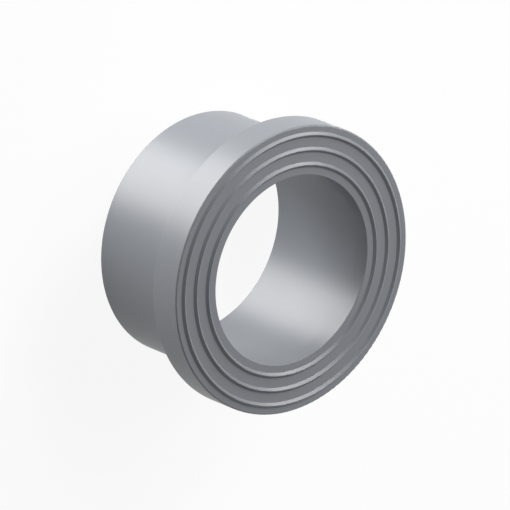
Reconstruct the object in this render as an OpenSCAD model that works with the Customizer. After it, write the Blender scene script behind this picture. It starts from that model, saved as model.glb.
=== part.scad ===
// Lap joint stub end: a plastic socket collar that a loose backing ring presses against a gasket.
// One moulded and turned piece, standing on the end of its neck, with the ridged jointing face up.
// Origin at the centre of the neck's end, +Z along the pipe's axis towards the jointing face.

/* [Flange] */
// Diameter of the flange
flange_d = 90; // [88:0.5:110]
// Thickness of the flange, from the lap face to the jointing face
flange_t = 10.6; // [8:0.1:16]
// Radius of the rim's edge at the jointing face
rim_round = 0.45; // [0.2:0.05:1.2]
// Radius of the rim's edge at the lap face
lap_round = 0.2; // [0.1:0.05:1]

/* [Neck] */
// Diameter of the neck that the backing ring passes over
neck_d = 75.4; // [70:0.1:80]
// Height from the neck's end to the jointing face
length = 44; // [34:0.2:70]
// Radius of the fillet where the neck meets the lap face
root_fillet = 2; // [0.5:0.25:3]
// Radius of the outer edge at the neck's end
neck_round = 0.15; // [0.1:0.05:1]

/* [Bore] */
// Diameter of the pipe's socket
socket_d = 63; // [61:0.1:66]
// Diameter of the opening in the jointing face, which leaves a stop for the pipe
stop_d = 59.2; // [50:0.1:60.5]
// Thickness of the stop, from the jointing face down to the socket's floor
stop_t = 5.2; // [3:0.1:8]
// Width of the 45 degree lead-in at the socket's mouth
mouth_chamfer = 0.3; // [0.1:0.1:1.5]
// Radius of the opening's edge at the jointing face
stop_round = 0.15; // [0.1:0.05:0.8]

/* [Sealing ridges] */
// Number of ridges on the jointing face
ridge_count = 3; // [1:1:3]
// Distance from the rim to the crest of the outermost ridge
ridge_margin = 2.95; // [2.5:0.05:4]
// Distance between the crests of two ridges
ridge_pitch = 4.65; // [3.2:0.05:5.2]
// Width of a ridge at its foot
ridge_w = 1.7; // [1:0.1:2.4]
// Height of a ridge above the jointing face
ridge_h = 0.7; // [0.4:0.05:1]
// Radius of a ridge's crest
ridge_crest = 0.2; // [0.1:0.05:0.3]

/* [Hidden] */
$fn = 180;
flange_r = flange_d / 2;
neck_r = neck_d / 2;
socket_r = socket_d / 2;
stop_r = stop_d / 2;
// Heights of the lap face and of the socket's floor
lap_z = length - flange_t;
stop_z = length - stop_t;
// Height of the crest's centre above the face, and the slope of the flanks that run up to its arc
crest_y = ridge_h - ridge_crest;
flank = atan2(crest_y, ridge_w / 2) + asin(ridge_crest / norm([ridge_w / 2, crest_y]));
// How far a cutting shape runs past the faces that it opens, and a ridge into the flange
over = 1;
plastic_grey = [0.5, 0.51, 0.53];

// What is cut away to round a corner at the origin whose material lies towards -X and -Y.
module corner_round(r) {
    difference() {
        translate([-r, -r]) square(2 * r);
        translate([-r, -r]) circle(r);
    }
}

// What is added to fillet a corner at the origin whose open side lies towards +X and -Y.
module corner_fillet(r) {
    difference() {
        translate([0, -r]) square(r);
        translate([r, -r]) circle(r);
    }
}

// Half section of the neck and flange before the bore is cut, radius along X and height along Y.
module solid_section() {
    square([neck_r, length]);
    translate([0, lap_z]) square([flange_r, flange_t]);
    translate([neck_r, lap_z]) corner_fillet(root_fillet);
}

// One ridge over the origin: straight flanks that run smoothly into a round crest.
module ridge_section() {
    side = ridge_crest * sin(flank);
    top = crest_y + ridge_crest * cos(flank);
    polygon([
        [-ridge_w / 2, -over],
        [ridge_w / 2, -over],
        [ridge_w / 2, 0],
        [side, top],
        [-side, top],
        [-ridge_w / 2, 0]
    ]);
    translate([0, crest_y]) circle(ridge_crest);
}

// The concentric ridges, from the rim inwards.
module ridge_sections() {
    for (i = [0 : ridge_count - 1])
        translate([flange_r - ridge_margin - i * ridge_pitch, length]) ridge_section();
}

// Half section of the bore: the socket with its lead-in, then the narrower opening past the stop.
module bore_section() {
    polygon([
        [-over, -over],
        [socket_r + mouth_chamfer + over, -over],
        [socket_r, mouth_chamfer],
        [socket_r, stop_z],
        [stop_r, stop_z],
        [stop_r, length + over],
        [-over, length + over]
    ]);
}

module stub_section() {
    difference() {
        union() {
            solid_section();
            ridge_sections();
        }
        bore_section();
        translate([flange_r, length]) corner_round(rim_round);
        translate([flange_r, lap_z]) mirror([0, 1]) corner_round(lap_round);
        translate([neck_r, 0]) mirror([0, 1]) corner_round(neck_round);
        translate([stop_r, length]) mirror([1, 0]) corner_round(stop_round);
    }
}

module stub_end() {
    color(plastic_grey) rotate_extrude() stub_section();
}

stub_end();
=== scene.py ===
"""Lap joint stub end of grey moulded plastic, standing on its neck with the ridged jointing face up.

The picture shows the pipe's axis level, so what is up in it is +Y here, and the camera is rolled to
match. The soft boxes stand where the picture's highlights ask for them. Those at its left and behind
the object lie under the floor, which lets their light through as a light table does.
"""
import math

import bpy
from mathutils import Matrix, Vector

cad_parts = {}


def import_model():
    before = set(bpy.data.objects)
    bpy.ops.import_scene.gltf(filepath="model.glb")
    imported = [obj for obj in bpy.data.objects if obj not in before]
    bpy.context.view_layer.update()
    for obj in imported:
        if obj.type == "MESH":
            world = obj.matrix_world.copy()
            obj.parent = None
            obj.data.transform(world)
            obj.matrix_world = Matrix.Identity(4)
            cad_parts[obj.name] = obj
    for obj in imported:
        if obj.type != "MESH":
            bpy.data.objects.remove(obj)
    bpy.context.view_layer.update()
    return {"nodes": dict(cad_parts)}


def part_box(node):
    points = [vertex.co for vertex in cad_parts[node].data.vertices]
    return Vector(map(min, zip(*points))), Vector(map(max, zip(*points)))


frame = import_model()

# The picture in pixels: its side, its lens, the rim's radius and the place of the face's centre
IMAGE_PX = 510
FOCAL_PX = 20000
RIM_PX = 150.45
FACE_PX = (293.25, 270.8)
# The view: degrees that the camera stands aside from the pipe's axis, and above it in the picture
VIEW_YAW = 39.95
VIEW_PITCH = 19.97
PICTURE_UP = Vector((0, 1, 0))
SENSOR_MM = 36

# Colours, as linear red, green and blue
PLASTIC_GREY = (0.176, 0.187, 0.204)
FLOOR_WHITE = (0.97, 0.97, 0.97, 1)
WHITE = (1, 1, 1, 1)

# The plastic: how fine its grain and its clouds are, per metre, and what they give to gloss and tone
GRAIN_SCALE = 2600
GRAIN_DETAIL = 4
CLOUD_SCALE = 60
CLOUD_DETAIL = 3
ROUGHNESS = (0.35, 0.45)
TONE = (0.97, 1.03)
# How strongly the grain shows in the surface, and its height in metres
BUMP_STRENGTH = 0.05
BUMP_HEIGHT = 0.0002

# The floor: its side and its gap under the object in metres, and the share of the shadows that it keeps
FLOOR_SIZE = 40
FLOOR_GAP = 0.0001
SHADOW_SHARE = 0.09
# The light: level of the even fill, and how far away the soft boxes stand in metres
FILL = 0.02
LAMP_DISTANCE = 1.2

# Sizes taken from the frame, in metres
LOW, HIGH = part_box("stub_end")
RIM_R = (HIGH.x - LOW.x) / 2
FACE = Vector((0, 0, HIGH.z))
MIDDLE = FACE / 2


def view_axes():
    """Directions to the right and up in the picture, and back to the camera."""
    yaw = math.radians(VIEW_YAW)
    pitch = math.radians(VIEW_PITCH)
    back = Vector((-math.sin(yaw) * math.cos(pitch), math.sin(pitch), math.cos(yaw) * math.cos(pitch)))
    right = PICTURE_UP.cross(back).normalized()
    return right, back.cross(right), back


RIGHT, UP, BACK = view_axes()


def node(tree, kind, inputs=None, **settings):
    """A new shader node with its inputs and settings."""
    made = tree.nodes.new(kind)
    for name, value in settings.items():
        setattr(made, name, value)
    for name, value in (inputs or {}).items():
        if isinstance(value, bpy.types.NodeSocket):
            tree.links.new(value, made.inputs[name])
        else:
            made.inputs[name].default_value = value
    return made


def noise(tree, place, scale, detail):
    """Soft noise from 0 to 1 over the object."""
    made = node(tree, "ShaderNodeTexNoise", {"Vector": place, "Scale": scale, "Detail": detail})
    return made.outputs["Fac"]


def spread(tree, value, low, high):
    """A value from 0 to 1, spread from low to high."""
    made = node(tree, "ShaderNodeMapRange", {"Value": value, "To Min": low, "To Max": high})
    return made.outputs["Result"]


def plastic():
    """Satin moulded plastic with a fine grain in its gloss and surface, and faint clouds in its tone."""
    mat = bpy.data.materials.new("satin_grey_plastic")
    mat.use_nodes = True
    tree = mat.node_tree
    shader = tree.nodes["Principled BSDF"]
    place = node(tree, "ShaderNodeTexCoord").outputs["Object"]
    grain = noise(tree, place, GRAIN_SCALE, GRAIN_DETAIL)
    tone = spread(tree, noise(tree, place, CLOUD_SCALE, CLOUD_DETAIL), *TONE)
    colour = node(tree, "ShaderNodeVectorMath", {0: PLASTIC_GREY, "Scale": tone}, operation="SCALE")
    bump_inputs = {"Height": grain, "Strength": BUMP_STRENGTH, "Distance": BUMP_HEIGHT}
    bump = node(tree, "ShaderNodeBump", bump_inputs)
    tree.links.new(colour.outputs["Vector"], shader.inputs["Base Color"])
    tree.links.new(spread(tree, grain, *ROUGHNESS), shader.inputs["Roughness"])
    tree.links.new(bump.outputs["Normal"], shader.inputs["Normal"])
    return mat


def seen(tree):
    """1 for rays that look, straight or through gloss and glass, and 0 for rays that light the object."""
    path = node(tree, "ShaderNodeLightPath")
    looks = path.outputs["Is Camera Ray"]
    for other in ("Is Glossy Ray", "Is Transmission Ray"):
        either = node(tree, "ShaderNodeMath", {0: looks, 1: path.outputs[other]}, operation="MAXIMUM")
        looks = either.outputs[0]
    return looks


def floor():
    """White floor to the horizon, which looks lit through but keeps a share of the shadows."""
    bpy.ops.mesh.primitive_plane_add(size=FLOOR_SIZE, location=(0, 0, LOW.z - FLOOR_GAP))
    plane = bpy.context.object
    plane.name = "floor"
    plane.visible_shadow = False
    mat = bpy.data.materials.new("floor_white")
    mat.use_nodes = True
    tree = mat.node_tree
    tree.nodes.remove(tree.nodes["Principled BSDF"])
    matt = node(tree, "ShaderNodeBsdfDiffuse", {"Color": FLOOR_WHITE})
    glow = node(tree, "ShaderNodeEmission", {"Color": WHITE, "Strength": 1})
    share = node(tree, "ShaderNodeMath", {0: seen(tree), 1: 1 - SHADOW_SHARE}, operation="MULTIPLY")
    mix = node(tree, "ShaderNodeMixShader", {0: share.outputs[0], 1: matt.outputs[0], 2: glow.outputs[0]})
    tree.links.new(mix.outputs[0], tree.nodes["Material Output"].inputs["Surface"])
    plane.data.materials.append(mat)


def world():
    """Even fill light from all round, which looks white."""
    made = bpy.data.worlds.new("studio")
    bpy.context.scene.world = made
    made.use_nodes = True
    tree = made.node_tree
    background = tree.nodes["Background"]
    background.inputs["Color"].default_value = WHITE
    tree.links.new(spread(tree, seen(tree), FILL, 1), background.inputs["Strength"])


def soft_box(name, place, length, width, power):
    """Soft box along the line of sight, placed by how far right, up and near it is in the picture."""
    data = bpy.data.lights.new(name, "AREA")
    data.shape = "RECTANGLE"
    data.size = width
    data.size_y = length
    data.energy = power
    # Keeps the floor from blocking the highlights of a box that lies under it
    data.cycles.use_multiple_importance_sampling = False
    made = bpy.data.objects.new(name, data)
    bpy.context.scene.collection.objects.link(made)
    way = (RIGHT * place[0] + UP * place[1] + BACK * place[2]).normalized()
    across = BACK.cross(way).normalized()
    turn = Matrix((across, way.cross(across), way)).transposed().to_4x4()
    made.matrix_world = Matrix.Translation(MIDDLE + way * LAMP_DISTANCE) @ turn


def camera():
    """Long lens at the picture's angle, with the face's centre at its pixel."""
    metres_per_px = RIM_R / RIM_PX
    aside = (FACE_PX[0] - IMAGE_PX / 2) * metres_per_px
    below = (FACE_PX[1] - IMAGE_PX / 2) * metres_per_px
    data = bpy.data.cameras.new("camera")
    data.sensor_width = SENSOR_MM
    data.lens = SENSOR_MM * FOCAL_PX / IMAGE_PX
    made = bpy.data.objects.new("camera", data)
    bpy.context.scene.collection.objects.link(made)
    turn = Matrix((RIGHT, UP, BACK)).transposed().to_4x4()
    spot = FACE + BACK * (FOCAL_PX * metres_per_px) - RIGHT * aside + UP * below
    made.matrix_world = Matrix.Translation(spot) @ turn
    bpy.context.scene.camera = made


body = frame["nodes"]["stub_end"]
body.data.materials.clear()
body.data.materials.append(plastic())
floor()
world()
# Sizes in metres and power in watts. The last one lights the sides that the picture doesn't show
soft_box("left_box", place=(-0.74, 0.67, -0.12), length=1.3, width=0.85, power=29)
soft_box("right_box", place=(0.7, 0.6, 0.3), length=1.3, width=0.35, power=16)
soft_box("front_box", place=(0.92, 0.05, 0.38), length=0.6, width=0.6, power=5)
soft_box("back_box", place=(0.1, 0.02, -1), length=0.3, width=0.3, power=12)
camera()
bpy.context.scene.view_settings.view_transform = "Standard"
